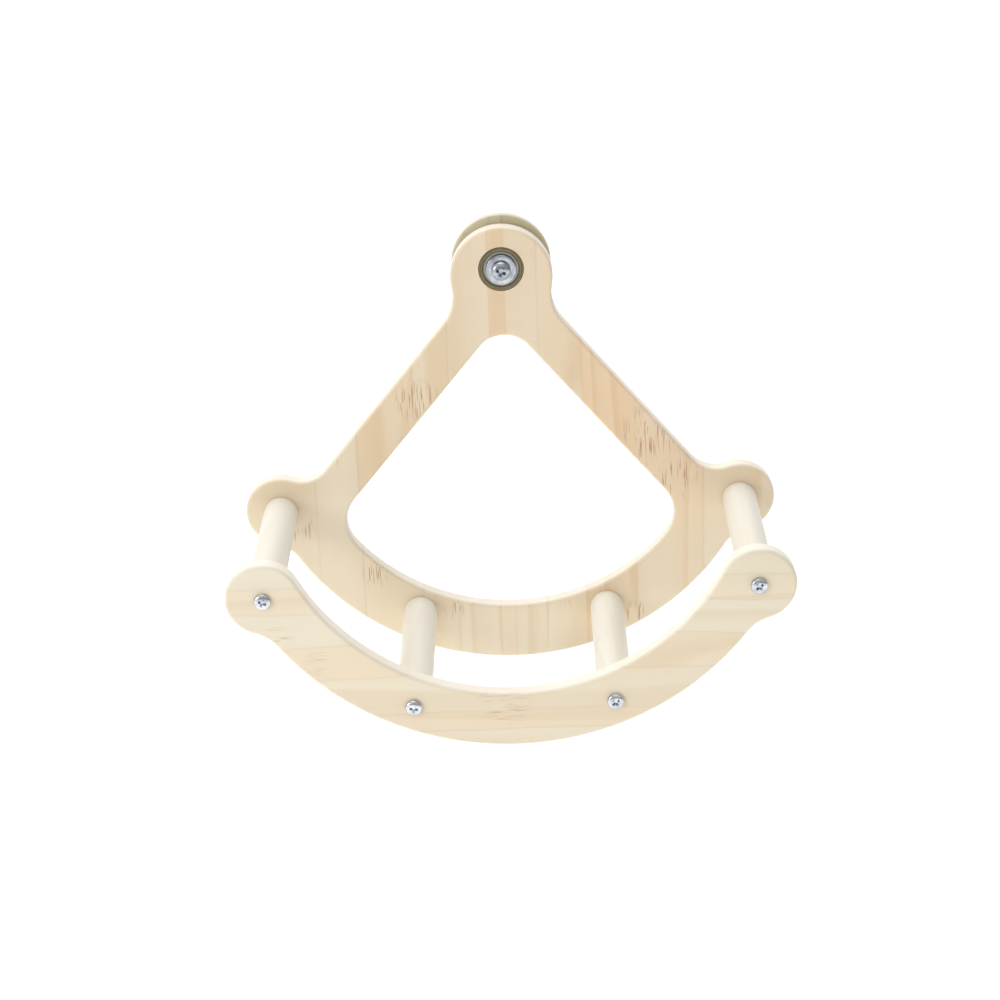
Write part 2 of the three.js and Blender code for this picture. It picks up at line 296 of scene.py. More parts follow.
def colour(red, green, blue):
    """A display colour, 0 to 255, as the linear colour that a shader works in."""
    def linear(value):
        share = value / 255
        return share / 12.92 if share <= 0.04045 else ((share + 0.055) / 1.055) ** 2.4
    return tuple(linear(value) for value in (red, green, blue))


# %% [markdown]
# ## Bare pine
# Sanded pine is pale and almost matt. Its yearly rings cross a flat face as long soft lines, like the
# contour lines of a stretched hill, so a stretched noise is cut into even bands: a wave texture would
# draw them too evenly. The plates are glued up from strips that differ a little in tone, with a fine line
# at each joint, and a strip shifts the pattern too, as in real boards. Short dark resin dashes lie along
# the grain, thick in a few patches. The rounded edges are painted paler than the faces, as a painted
# highlight.

# %% Where resin shows
def resin_patches(tree, place, patches):
    """A mask that is 1 inside round patches of (x, z, radius) in millimetres and fades at their rims."""
    flat = stretched(tree, place, (1.0, 0.0, 1.0))
    mask = 0.0
    for x, z, radius in patches:
        gap = add(tree, "ShaderNodeVectorMath", {"operation": "DISTANCE"})
        tree.links.new(flat, gap.inputs[0])
        gap.inputs[1].default_value = (x * MM, 0, z * MM)
        near = add(tree, "ShaderNodeMapRange", Value=gap.outputs["Value"], From_Min=radius * MM,
                   From_Max=0.5 * radius * MM).outputs[0]
        mask = maths(tree, "MAXIMUM", near, mask)
    return mask


# %% Glued strips
JOINT_LINE = (0.9 * MM, 0.1 * MM)


def glued_strips(tree, place, across, strips, wobble):
    """The tone of the strip at a point, and a mask of the fine lines between strips."""
    wander = noise(tree, place, 14.0, 1.0)
    axis = add(tree, "ShaderNodeSeparateXYZ", Vector=place).outputs[across]
    drift = maths(tree, "MULTIPLY", maths(tree, "SUBTRACT", wander, 0.5), wobble * MM)
    axis = maths(tree, "ADD", axis, drift)
    tone, lines = strips[0][1], 0.0
    for (start, value), (_, before) in zip(strips[1:], strips):
        past = maths(tree, "GREATER_THAN", axis, start * MM)
        tone = maths(tree, "ADD", tone, maths(tree, "MULTIPLY", past, value - before))
        away = maths(tree, "ABSOLUTE", maths(tree, "SUBTRACT", axis, start * MM))
        line = add(tree, "ShaderNodeMapRange", Value=away, From_Min=JOINT_LINE[0],
                   From_Max=JOINT_LINE[1]).outputs[0]
        lines = maths(tree, "MAXIMUM", line, lines)
    return tone, lines


# %% Painted highlight on the rounded edges, and the pale lower end of a board
RIM_START, RIM_END = 0.02 * MM, 1.4 * MM
PALE_FROM, PALE_TO = -105 * MM, -150 * MM


def below_the_faces(tree, place, node):
    """A mask that is 0 on a flat part's front and back faces and 1 on its rounded edges."""
    low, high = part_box(node)
    depth = add(tree, "ShaderNodeSeparateXYZ", Vector=place).outputs["Y"]
    from_middle = maths(tree, "ABSOLUTE", maths(tree, "SUBTRACT", depth, (low.y + high.y) / 2))
    half = (high.y - low.y) / 2
    return add(tree, "ShaderNodeMapRange", Value=from_middle, From_Min=half - RIM_START,
               From_Max=half - RIM_END).outputs[0]


def paler_below(tree, place, tone, amount):
    """Raises the tone of the wood towards the lower end of a board."""
    height = add(tree, "ShaderNodeSeparateXYZ", Vector=place).outputs["Z"]
    lower_paling = add(tree, "ShaderNodeMapRange", Value=height, From_Min=PALE_FROM, From_Max=PALE_TO,
                  To_Max=amount).outputs[0]
    return maths(tree, "MINIMUM", maths(tree, "ADD", tone, lower_paling), 1.0)


# %% The pine recipe
RING_STRETCH, FIBRE_STRETCH, FLECK_STRETCH = 0.10, 0.03, 0.05
RING_SCALE, CLOUD_SCALE, FIBRE_SCALE, FLECK_SCALE, STRAY_SCALE = 13.0, 26.0, 1500.0, 1900.0, 34.0
# The second tint here is the pale colour of the painted highlight on rounded edges.
PALE_TINT, RIM_HIGHLIGHT_TINT = colour(254, 254, 250), colour(234, 230, 222)


def pine(name, along, across, strips, patches, early, late, warm=(255, 241, 222), wobble=0.0, ring_count=11.0,
         stray=0.60, resin=0.5, rims=0.0, flat_part=None, pale_end=0.0, fleck=colour(158, 108, 72)):
    """along: the grain's axis, 0 to 2; across: the axis the strips divide; strips: (start, tone).
    rims: how much paler the rounded edges of a flat part are painted than its faces, as a painted highlight.
    pale_end: how far the wood pales towards the lower end of a board."""
    material, tree, shader, place = new_finish(name, Specular_IOR_Level=0.5, Sheen_Weight=0.12,
                                               Sheen_Roughness=0.4)
    tone, lines = glued_strips(tree, place, across, strips, wobble)
    shift = maths(tree, "MULTIPLY", tone, 3.0)
    if pale_end:
        tone = paler_below(tree, place, tone, pale_end)
    moved = add(tree, "ShaderNodeCombineXYZ", X=shift, Y=shift, Z=shift).outputs[0]
    boards = add(tree, "ShaderNodeVectorMath", {"operation": "ADD"}).outputs[0]
    tree.links.new(place, boards.node.inputs[0])
    tree.links.new(moved, boards.node.inputs[1])

    long_scale, fibre_scale, fleck_scale = ([1.0] * 3 for _ in range(3))
    long_scale[along], fibre_scale[along], fleck_scale[along] = RING_STRETCH, FIBRE_STRETCH, FLECK_STRETCH
    growth = noise(tree, stretched(tree, boards, long_scale), RING_SCALE, 1.5, 0.4, 0.15)
    bands = maths(tree, "FRACT", maths(tree, "MULTIPLY", growth, ring_count))
    rings = ramp(tree, bands, [(0.0, 0.0), (0.62, 0.30), (0.86, 1.0), (0.93, 0.75), (1.0, 0.0)])
    fibres = noise(tree, stretched(tree, boards, fibre_scale), FIBRE_SCALE, 3.0, 0.6)
    cloud = noise(tree, stretched(tree, boards, long_scale), CLOUD_SCALE, 2.0)

    dash = noise(tree, stretched(tree, place, fleck_scale), FLECK_SCALE, 1.0, 0.4)
    dashes = ramp(tree, dash, [(0.0, 1.0), (0.35, 1.0), (0.41, 0.0), (1.0, 0.0)])
    strays = ramp(tree, noise(tree, place, STRAY_SCALE, 1.0),
                  [(0.0, 0.0), (stray, 0.0), (stray + 0.1, 1.0), (1.0, 1.0)])
    resinous = maths(tree, "MAXIMUM", strays, resin_patches(tree, place, patches))
    flecks = maths(tree, "MULTIPLY", dashes, resinous)

    wood = mixed(tree, maths(tree, "MULTIPLY", rings, 0.50), early, late)
    wood = mixed(tree, ramp(tree, cloud, [(0.35, 0.0), (0.75, 0.40)]), wood, late)
    wood = mixed(tree, maths(tree, "MULTIPLY", fibres, 0.20), wood, late)
    strip_tint = mixed(tree, tone, colour(*warm), PALE_TINT)
    wood = mixed(tree, 0.85, wood, strip_tint, "MULTIPLY")
    broken = maths(tree, "MULTIPLY", lines, ramp(tree, cloud, [(0.3, 0.2), (0.7, 1.0)]))
    wood = mixed(tree, maths(tree, "MULTIPLY", broken, 0.14), wood, fleck)
    wood = mixed(tree, maths(tree, "MULTIPLY", flecks, resin), wood, fleck)
    if flat_part:
        # The rounded edges are mixed towards a pale tint: a painted highlight where they catch the light.
        rim_highlight_mask = below_the_faces(tree, place, flat_part)
        wood = mixed(tree, maths(tree, "MULTIPLY", rim_highlight_mask, rims), wood, RIM_HIGHLIGHT_TINT)
    tree.links.new(wood, shader.inputs["Base Color"])

    gloss = add(tree, "ShaderNodeMapRange", Value=fibres, To_Min=0.42, To_Max=0.60)
    tree.links.new(gloss.outputs[0], shader.inputs["Roughness"])
    relief = maths(tree, "ADD", maths(tree, "MULTIPLY", fibres, 0.5), maths(tree, "MULTIPLY", flecks, -1.0))
    relief = maths(tree, "ADD", relief, maths(tree, "MULTIPLY", rings, 0.35))
    bump = add(tree, "ShaderNodeBump", Strength=0.25, Distance=0.00012, Height=relief)
    tree.links.new(bump.outputs["Normal"], shader.inputs["Normal"])
    return material


# %% [markdown]
# ## The four pine finishes
# The rear plate's grain is upright and the front plate's is level. The rungs have it along their length,
# and the disc is a greener board. A plain noise could place strips and resin anywhere, so they are listed
# here instead, in millimetres from the pivot, and each board keeps a face of its own.

# %% Strips, patches and finishes
X, Y, Z = 0, 1, 2
REAR_STRIPS = [(-150, 0.75), (-98, 0.95), (-76, 0.60), (-46, 0.75), (-28, 0.85), (-6.5, 0.35), (1, 0.80),
               (17, 0.55), (38, 0.05), (64, 0.40), (98, 0.65)]
REAR_PATCHES = [(-45, -66, 13), (71, -88, 17), (84, -112, 13), (-108, -133, 10), (-70, -160, 9),
                (62, -186, 7), (-30, -182, 6)]
FRONT_STRIPS = [(-230, 0.75), (-196, 0.35), (-186, 0.60), (-166, 0.35), (-148, 0.75), (-131, 0.55),
                (-118, 0.85)]
FRONT_PATCHES = [(-111, -146, 10), (-5, -181, 15), (-92, -158, 8)]
pine_rear = pine("pine_rear", Z, X, REAR_STRIPS, REAR_PATCHES, colour(226, 215, 195), colour(210, 187, 153),
                 (255, 236, 214), stray=0.66, resin=0.60, rims=0.5, flat_part="rear_plate",
                 pale_end=0.4, fleck=colour(152, 92, 58))
pine_front = pine("pine_front", X, Z, FRONT_STRIPS, FRONT_PATCHES, colour(228, 221, 205),
                  colour(213, 199, 174), wobble=7.0, ring_count=9.0, stray=0.66, resin=0.34, rims=0.5,
                  flat_part="front_plate")
pine_rung = pine("pine_rung", Y, X, [(-150, 0.9)], [], colour(221, 217, 208), colour(214, 206, 192),
                 ring_count=16.0, stray=0.68, resin=0.25)
# Past the glue joint at 0.8 mm the disc takes a darker, greener strip tone: painted shade of the hub's shadow
# on its right half.
disc_wood = pine("disc_wood", Z, X, [(-150, 0.80), (0.8, 0.20)], [], colour(203, 196, 174),
                 colour(186, 177, 148), (238, 234, 206), ring_count=18.0, stray=0.62, resin=0.35, rims=0.35,
                 flat_part="wall_disc")
print("pine finishes made:", [m.name for m in (pine_rear, pine_front, pine_rung, disc_wood)])

# %% [markdown]
# ## Metals
# The screws, washers and the wing nut are plated with zinc: a cool grey mirror broken up by tiny
# crystals, which a Voronoi pattern gives. The pivot's own screw and washers are a shade darker than the
# rest. The bearing is oiled steel that looks brown against the zinc. The fine rings round its axis come
# from the distance to that axis, so they stay true circles at any size.

# %% Zinc
CRYSTAL_SCALE = 1400.0


def around_the_axis(tree, shader):
    """Lets highlights stretch across the fine rings left by the lathe."""
    tangent = add(tree, "ShaderNodeTangent", {"direction_type": "RADIAL", "axis": "Y"})
    tree.links.new(tangent.outputs["Tangent"], shader.inputs["Tangent"])


def zinc_plate(name, light, dark):
    material, tree, shader, place = new_finish(name, Metallic=1.0, Anisotropic=0.6)
    around_the_axis(tree, shader)
    crystals = add(tree, "ShaderNodeTexVoronoi", Vector=place, Scale=CRYSTAL_SCALE).outputs["Color"]
    cloud = noise(tree, place, 260.0, 3.0)
    tint = mixed(tree, ramp(tree, cloud, [(0.3, 0.0), (0.75, 1.0)]), light, dark)
    tint = mixed(tree, 0.10, tint, crystals, "OVERLAY")
    tree.links.new(tint, shader.inputs["Base Color"])
    gloss = add(tree, "ShaderNodeMapRange", Value=cloud, To_Min=0.14, To_Max=0.28)
    tree.links.new(gloss.outputs[0], shader.inputs["Roughness"])
    bump = add(tree, "ShaderNodeBump", Strength=0.12, Distance=0.00005, Height=cloud)
    tree.links.new(bump.outputs["Normal"], shader.inputs["Normal"])
    return material


# %% Turned steel, and the five metals
def turned_steel(name, dark, light, rough):
    """Steel with fine rings round the pivot axis, from the distance to it."""
    material, tree, shader, place = new_finish(name, Metallic=1.0, Anisotropic=0.5)
    around_the_axis(tree, shader)
    axes = add(tree, "ShaderNodeSeparateXYZ", Vector=place).outputs
    across = maths(tree, "POWER", axes[0], 2.0)
    upward = maths(tree, "POWER", axes[2], 2.0)
    radius = maths(tree, "SQRT", maths(tree, "ADD", across, upward))
    marks = add(tree, "ShaderNodeTexNoise", {"noise_dimensions": "1D"}, W=radius, Scale=9000.0, Detail=2.0)
    coarse = add(tree, "ShaderNodeTexNoise", {"noise_dimensions": "1D"}, W=radius, Scale=2600.0, Detail=1.0)
    lines = ramp(tree, coarse.outputs["Fac"], [(0.0, 0.0), (0.42, 0.0), (0.6, 1.0), (1.0, 1.0)])
    stain = maths(tree, "MULTIPLY", noise(tree, place, 420.0, 2.0), 0.4)
    shade = maths(tree, "ADD", stain, maths(tree, "MULTIPLY", lines, 0.6))
    tree.links.new(mixed(tree, shade, dark, light), shader.inputs["Base Color"])
    gloss = add(tree, "ShaderNodeMapRange", Value=marks.outputs["Fac"], To_Min=rough, To_Max=rough + 0.14)
    tree.links.new(gloss.outputs[0], shader.inputs["Roughness"])
    bump = add(tree, "ShaderNodeBump", Strength=0.2, Distance=0.00003, Height=marks.outputs["Fac"])
    tree.links.new(bump.outputs["Normal"], shader.inputs["Normal"])
    return material


zinc = zinc_plate("zinc", colour(216, 219, 223), colour(168, 173, 180))
zinc_pivot = zinc_plate("zinc_pivot", colour(190, 194, 200), colour(128, 135, 146))
bearing_steel = turned_steel("bearing_steel", colour(72, 64, 48), colour(142, 130, 106), 0.26)
shield_steel = turned_steel("bearing_steel_shield", colour(104, 106, 96), colour(192, 192, 180), 0.3)
ball_steel = turned_steel("ball_steel", colour(196, 198, 202), colour(226, 228, 230), 0.06)
print("metals made:", [m.name for m in (zinc, zinc_pivot, bearing_steel, shield_steel, ball_steel)])

# %% [markdown]
# ## The two plates
# Each plate is sawn from board and its edges are rounded with a router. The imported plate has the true
# outline but square edges. A filled curve has a bevel that rounds an outline of any shape evenly, so
# the front face's outline is taken as a curve, thickened with that bevel, and made a mesh again. The
# screw holes and the stepped seat of the bearing are drilled afterwards.

# %% Outline loops and plate blank
EDGE_ROUND = 1.7 * MM
RIM_STEPS = 4


def face_loops(node, y):
    """A wire copy of the outline of a node's flat face at y, laid in the XY plane."""
    blank = bpy.data.objects.new(node + "_blank", frame["nodes"][node].data.copy())
    bpy.context.collection.objects.link(blank)
    with editing(blank):
        bpy.ops.mesh.remove_doubles(threshold=1e-6)
    with editing(blank, "NONE", "FACE") as mesh:
        choose(mesh.faces, lambda face: any(abs(v.co.y - y) > 1e-5 for v in face.verts))
        bpy.ops.mesh.delete(type="FACE")
    with editing(blank, "ALL", "FACE"):
        bpy.ops.mesh.region_to_loop()
        bpy.ops.mesh.select_all(action="INVERT")
        bpy.ops.mesh.delete(type="EDGE_FACE")
    blank.data.transform(Matrix.Translation((0, 0, -y)) @ Matrix.Rotation(-math.pi / 2, 4, "X"))
    return blank


def rounded_plate(name, node, holes_under):
    """A plate with rounded edges from a node's outline; loops smaller than holes_under are left out."""
    low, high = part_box(node)
    blank = face_loops(node, low.y)
    activate(blank)
    bpy.ops.object.convert(target="CURVE")
    curve = blank.data
    curve.dimensions = "2D"
    curve.fill_mode = "BOTH"
    for spline in list(curve.splines):
        places = [point.co for point in spline.points]
        width = max(p.x for p in places) - min(p.x for p in places)
        if width < holes_under:
            curve.splines.remove(spline)
    print(node, "loops kept:", len(curve.splines))
    curve.extrude = (high.y - low.y) / 2 - EDGE_ROUND
    curve.bevel_depth = EDGE_ROUND
    curve.bevel_resolution = RIM_STEPS
    curve.offset = -EDGE_ROUND
    bpy.ops.object.convert(target="MESH")
    blank.name = blank.data.name = name
    centre = Matrix.Translation((0, (low.y + high.y) / 2, 0))
    blank.data.transform(centre @ Matrix.Rotation(math.pi / 2, 4, "X"))
    with editing(blank):
        bpy.ops.mesh.remove_doubles(threshold=2e-6)
        bpy.ops.mesh.normals_make_consistent(inside=False)
    return blank


# %% Make the plates
CORNERS = ("upper_left", "upper_right", "lower_left", "lower_right")
SCREW_HOLE = 2.25 * MM
SEAT_LIP = 8.6 * MM
SEAT_PLAY = 0.15 * MM
SMALLEST_WINDOW = 60 * MM
rear_low, rear_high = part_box("rear_plate")
front_low, front_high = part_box("front_plate")
bearing_low, bearing_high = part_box("bearing_outer_ring")


def drill(piece, radius, x, z, low_y, high_y):
    """Drills along Y, centred on x and z."""
    bit = turned("bit", [(0, low_y), (radius, low_y), (radius, high_y), (0, high_y)], 48)
    bit.data.transform(Matrix.Translation((x, 0, z)))
    cut(piece, bit)


rear_plate = rounded_plate("rear_board", "rear_plate", SMALLEST_WINDOW)
front_plate = rounded_plate("front_board", "front_plate", SMALLEST_WINDOW)
for corner in CORNERS:
    place = middle("rung_" + corner)
    drill(rear_plate, SCREW_HOLE, place.x, place.z, rear_low.y - MM, rear_high.y + MM)
    drill(front_plate, SCREW_HOLE, place.x, place.z, front_low.y - MM, front_high.y + MM)
drill(rear_plate, SEAT_LIP, 0, 0, rear_low.y - MM, rear_high.y + MM)
drill(rear_plate, bearing_high.x + SEAT_PLAY, 0, 0, rear_low.y - MM, bearing_high.y)
for board, node, finish in ((rear_plate, "rear_plate", pine_rear), (front_plate, "front_plate", pine_front)):
    smooth(board, 32)
    modify(board, "WEIGHTED_NORMAL", keep_sharp=True)
    hand_over(board, node, finish)

# %% [markdown]
# ## The rungs
# A rung is a turned dowel. Its ends are slightly broken where they were cut to length, and a pilot hole
# with the cone of a drill point runs up each end for its screw.

# %% Rungs
PILOT_DEPTH = 17.0 * MM
DRILL_POINT = 0.9 * MM
END_BREAK = 0.4 * MM


def mirrored(half, total):
    """A section from y = 0 to the middle, completed by its mirror image at the other end."""
    return half + [(radius, total - y) for radius, y in reversed(half)]


for corner in CORNERS:
    node = "rung_" + corner
    low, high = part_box(node)
    radius = (high.x - low.x) / 2
    section = mirrored([(0, PILOT_DEPTH + DRILL_POINT), (SCREW_HOLE, PILOT_DEPTH), (SCREW_HOLE, 0),
                        (radius - END_BREAK, 0), (radius, END_BREAK)], high.y - low.y)
    dowel = turned("dowel_" + corner, section, 72)
    dowel.data.transform(Matrix.Translation((middle(node).x, low.y, middle(node).z)))
    hand_over(smooth(dowel, 30), node, pine_rung)

# %% [markdown]
# ## Cross-head screws
# A screw is turned with a domed pan head and a plain shank that carries many rows of vertices. `wind`
# moves those rows out and in along a right-handed helix, which raises a real thread without any
# seam. Two tapered blades then stamp the cross into the head.

# %% Screw helpers
def pan_head(radius, height, bulge=2.6, steps=10):
    """The domed half section of a pan head, from the middle of its top to the edge of its seat."""
    dome = []
    for step in range(steps + 1):
        angle = math.pi / 2 * step / steps
        out, rise = math.sin(angle) ** (2 / bulge), max(math.cos(angle), 0) ** (2 / bulge)
        dome.append((radius * out, -height * (0.32 + 0.68 * rise)))
    return dome + [(radius, -0.1 * height), (0.97 * radius, 0)]


def wind(piece, start, end, crest, depth, pitch, sharpness, taper=0.0, tip=0.0):
    """Raises a thread between two heights of a shank. Its ridge narrows to the tip over the taper."""
    with editing(piece) as mesh:
        for vertex in mesh.verts:
            x, y, z = vertex.co
            distance = math.hypot(x, z)
            if not start < y < end or distance < 1e-6:
                continue
            phase = (y / pitch - math.atan2(x, z) / (2 * math.pi)) % 1.0
            ridge = max(0.0, 1 - abs(2 * phase - 1) * sharpness)
            fade = min(1.0, (y - start) / pitch, (end - y) / pitch)
            slope = min(1.0, tip + (1 - tip) * (end - y) / taper) if taper else 1.0
            radius = slope * (crest - depth * (1 - ridge * fade))
            vertex.co.x, vertex.co.z = x / distance * radius, z / distance * radius
        bmesh.update_edit_mesh(piece.data)


def stamp_cross(piece, width, reach, depth, top):
    """Two tapered blades crossed, as of a screwdriver, cut into the head."""
    over = 0.5 * depth
    blade = [(-reach / 2, top - over), (reach / 2, top - over), (0.17 * reach, top + depth),
             (-0.17 * reach, top + depth)]
    for name, angle in (("blade", 0), ("crossed_blade", 90)):
        tool = slab(name, blade, width)
        tool.data.transform(Matrix.Rotation(math.radians(angle), 4, "Y"))
        cut(piece, tool)


def screw(name, head_radius, head_height, length, thread, cross, tip):
    """A screw with its seat at y = 0 and its head towards -Y."""
    start, end = thread["start"], length - tip["length"] * (0 if thread["tapered"] else 1)
    rows = int((end - start) / thread["pitch"] * thread["rows"])
    shank = [(thread["crest"], start + (end - start) * row / rows) for row in range(1, rows)]
    plain = [(thread["crest"] * 0.96, 0), (thread["crest"] * 0.96, start)]
    section = pan_head(head_radius, head_height) + plain + shank
    section += [(tip["radius"], length), (0, length)]
    piece = turned(name, section, thread["steps"])
    taper = tip["length"] if thread["tapered"] else 0.0
    wind(piece, start, end, thread["crest"], thread["depth"], thread["pitch"], thread["sharpness"], taper,
         tip["radius"] / thread["crest"])
    stamp_cross(piece, cross["width"], cross["reach"], cross["depth"], -head_height)
    return smooth(piece, 32)


# %% Wood screws, made once and copied
def copy_of(piece, name, matrix):
    """A copy with a mesh of its own, moved by a matrix."""
    twin = piece.copy()
    twin.data = piece.data.copy()
    twin.name = twin.data.name = name
    bpy.context.collection.objects.link(twin)
    twin.data.transform(matrix)
    return twin


screw_low, screw_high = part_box("front_screw_upper_left")
wood_head = (screw_high.x - screw_low.x) / 2
wood_head_height = front_low.y - screw_low.y
wood_length = screw_high.y - front_low.y
master = screw("wood_screw", wood_head, wood_head_height, wood_length,
               {"start": 7 * MM, "crest": 1.95 * MM, "depth": 0.6 * MM, "pitch": 1.5 * MM, "rows": 9,
                "sharpness": 2.2, "steps": 32, "tapered": True},
               {"width": 1.25 * MM, "reach": 5.4 * MM, "depth": 1.4 * MM},
               {"length": 4 * MM, "radius": 0.3 * MM})
CROSS_TURNS = {"upper_left": 24, "upper_right": -38, "lower_left": 8, "lower_right": 52}
for corner, angle in CROSS_TURNS.items():
    place = middle("rung_" + corner)
    spin = Matrix.Rotation(math.radians(angle), 4, "Y")
    from_front = Matrix.Translation((place.x, front_low.y, place.z)) @ spin
    from_back = Matrix.Translation((place.x, rear_high.y, place.z)) @ Matrix.Rotation(math.pi, 4, "X") @ spin
    hand_over(copy_of(master, "wood_screw_front_" + corner, from_front), "front_screw_" + corner, zinc)
    hand_over(copy_of(master, "wood_screw_rear_" + corner, from_back), "rear_screw_" + corner, zinc)
bpy.data.objects.remove(master)

# %% [markdown]
# ## The pivot
# One M5 screw holds everything. Behind its head come a thick washer, the sleeve in the bearing, a
# spacer, the wooden disc, the cage wall, a wide washer and the wing nut.

# %% Pivot screw, washers, sleeve and spacer
BORE = 2.8 * MM
PIVOT_CROSS_TURN = 21
washer_low, washer_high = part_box("front_washer")
pivot_low, pivot_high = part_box("pivot_screw")
pivot_head = (pivot_high.x - pivot_low.x) / 2
pivot_screw = screw("machine_screw", pivot_head, washer_low.y - pivot_low.y, pivot_high.y - washer_low.y,
                    {"start": 8 * MM, "crest": 2.5 * MM, "depth": 0.45 * MM, "pitch": 0.8 * MM, "rows": 8,
                     "sharpness": 1.0, "steps": 40, "tapered": False},
                    {"width": 1.6 * MM, "reach": 6.6 * MM, "depth": 1.9 * MM},
                    {"length": 0.8 * MM, "radius": 1.9 * MM})
turned_cross = Matrix.Rotation(math.radians(PIVOT_CROSS_TURN), 4, "Y")
pivot_screw.data.transform(Matrix.Translation((0, washer_low.y, 0)) @ turned_cross)
hand_over(pivot_screw, "pivot_screw", zinc_pivot)

SOFT_EDGES = {"front_washer": 0.55 * MM, "bearing_sleeve": 0.3 * MM, "spacer_bush": 0.35 * MM,
              "clamp_washer": 0.35 * MM}
for node, edge in SOFT_EDGES.items():
    low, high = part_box(node)
    piece = ring("turned_" + node, BORE, high.x, low.y, high.y, edge)
    hand_over(smooth(piece, 50), node, zinc if node == "clamp_washer" else zinc_pivot)

# %% [markdown]
# ## The ball bearing
# The two rings carry the groove that the balls run in. Its section is an arc about the balls' pitch
# circle, so it is drawn point by point and turned with the rest of the ring. A thin shield covers each
# side, and a ring with seven windows keeps the balls apart.

# %% Bearing rings
RACE_PLAY = 0.08 * MM
GROOVE_STEPS = 12
ball_low, ball_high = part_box("ball_1")
ball_radius = (ball_high.z - ball_low.z) / 2
pitch_radius = middle("ball_1").z
bearing_middle = middle("bearing_outer_ring").y
half_width = (bearing_high.y - bearing_low.y) / 2
inner_low, inner_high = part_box("bearing_inner_ring")
BEARING_BORE = 4.0 * MM
OUTER_LAND = 8.9 * MM
SHIELD_SEAT = 2.8 * MM
OUTER_BREAK, INNER_BREAK = 0.3 * MM, 0.25 * MM
inner_land = inner_high.x
shoulder = 2 * pitch_radius - inner_land
groove_radius = ball_radius + RACE_PLAY
lip_angle = math.acos((pitch_radius - inner_land) / groove_radius)


def groove(middle_angle, first, last):
    """Points of the ball groove, from one lip to the other, about the middle of the bearing."""
    points = []
    for step in range(GROOVE_STEPS + 1):
        angle = middle_angle + first + (last - first) * step / GROOVE_STEPS
        points.append((pitch_radius + groove_radius * math.cos(angle), groove_radius * math.sin(angle)))
    return points


outer_body = [(shoulder, -SHIELD_SEAT), (OUTER_LAND, -SHIELD_SEAT), (OUTER_LAND, -half_width),
              (bearing_high.x, -half_width), (bearing_high.x, half_width), (OUTER_LAND, half_width),
              (OUTER_LAND, SHIELD_SEAT), (shoulder, SHIELD_SEAT)]
inner_body = [(inner_land, half_width), (BEARING_BORE, half_width), (BEARING_BORE, -half_width),
              (inner_land, -half_width)]
# A rounded corner is four points long. The first and last corners meet the groove and stay sharp.
outer_ring = turned("race_outer", rounded(outer_body, OUTER_BREAK)[4:-4] + [outer_body[-1]]
                    + groove(0, lip_angle, -lip_angle) + [outer_body[0]])
inner_ring = turned("race_inner", inner_body[:1] + rounded(inner_body, INNER_BREAK)[4:-4] + inner_body[-1:]
                    + groove(math.pi, lip_angle, -lip_angle))
for piece, node in ((outer_ring, "bearing_outer_ring"), (inner_ring, "bearing_inner_ring")):
    piece.data.transform(Matrix.Translation((0, bearing_middle, 0)))
    hand_over(smooth(piece, 35), node, bearing_steel)

# %% Shields
SHIELD_BORE = 6.45 * MM
BEAD_DEPTH = 0.12 * MM
BEAD_INSIDE, BEAD_OUTSIDE, BEAD_SLOPE = 7.85 * MM, 8.5 * MM, 0.15 * MM
for node, facing in (("bearing_front_shield", -1), ("bearing_rear_shield", 1)):
    low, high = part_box(node)
    skin, back = (low.y, high.y) if facing < 0 else (high.y, low.y)
    dip = skin - facing * BEAD_DEPTH
    bead = [(BEAD_INSIDE, skin), (BEAD_INSIDE + BEAD_SLOPE, dip), (BEAD_OUTSIDE - BEAD_SLOPE, dip),
            (BEAD_OUTSIDE, skin)]
    section = [(SHIELD_BORE, skin)] + bead + [(high.x, skin), (high.x, back), (SHIELD_BORE, back)]
    hand_over(smooth(turned("pressed_" + node, section), 30), node, shield_steel)

# %% Balls and ball cage
cage_low, cage_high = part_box("ball_cage")
CAGE_WALL = 1.0 * MM
POCKET_RADIUS = 2.14 * MM
BALLS = 7
cage_outer = pitch_radius + CAGE_WALL / 2
ball_cage = ring("pocket_ring", cage_outer - CAGE_WALL, cage_outer, cage_low.y, cage_high.y, 0.2 * MM, 140)
for number in range(1, BALLS + 1):
    place = middle(f"ball_{number}")
    bpy.ops.object.select_all(action="DESELECT")
    bpy.ops.mesh.primitive_uv_sphere_add(segments=24, ring_count=16, radius=POCKET_RADIUS, location=place)
    cut(ball_cage, settle(bpy.context.object))
    bpy.ops.object.select_all(action="DESELECT")
    bpy.ops.mesh.primitive_uv_sphere_add(segments=32, ring_count=20, radius=ball_radius, location=place)
    ball = settle(bpy.context.object)
    ball.name = ball.data.name = f"steel_ball_{number}"
    hand_over(smooth(ball, 60), f"ball_{number}", ball_steel)
hand_over(smooth(ball_cage, 35), "ball_cage", bearing_steel)

# %% [markdown]
# ## The wall disc
# The disc is glued up from two halves of board. The joint shows as a fine upright line on its face, so
# a shallow groove is cut there.

# %% Wall disc
disc_low, disc_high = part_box("wall_disc")
SEAM_PLACE, SEAM_WIDTH, SEAM_DEPTH = 0.8 * MM, 0.5 * MM, 0.3 * MM
wall_disc = ring("round_back_board", BORE, disc_high.x, disc_low.y, disc_high.y, 0.8 * MM, 160)
seam = slab("seam", [(-SEAM_WIDTH / 2, disc_low.y - MM), (SEAM_WIDTH / 2, disc_low.y - MM),
                     (0, disc_low.y + SEAM_DEPTH)], 2.2 * disc_high.x)
seam.data.transform(Matrix.Translation((SEAM_PLACE, 0, 0)))
cut(wall_disc, seam)
hand_over(smooth(wall_disc, 35), "wall_disc", disc_wood)

# %% [markdown]
# ## The wing nut
# A stamped wing nut: a tapered hub with two rounded ears. The ears are bevelled before they are joined
# to the hub, and the bore is drilled last.

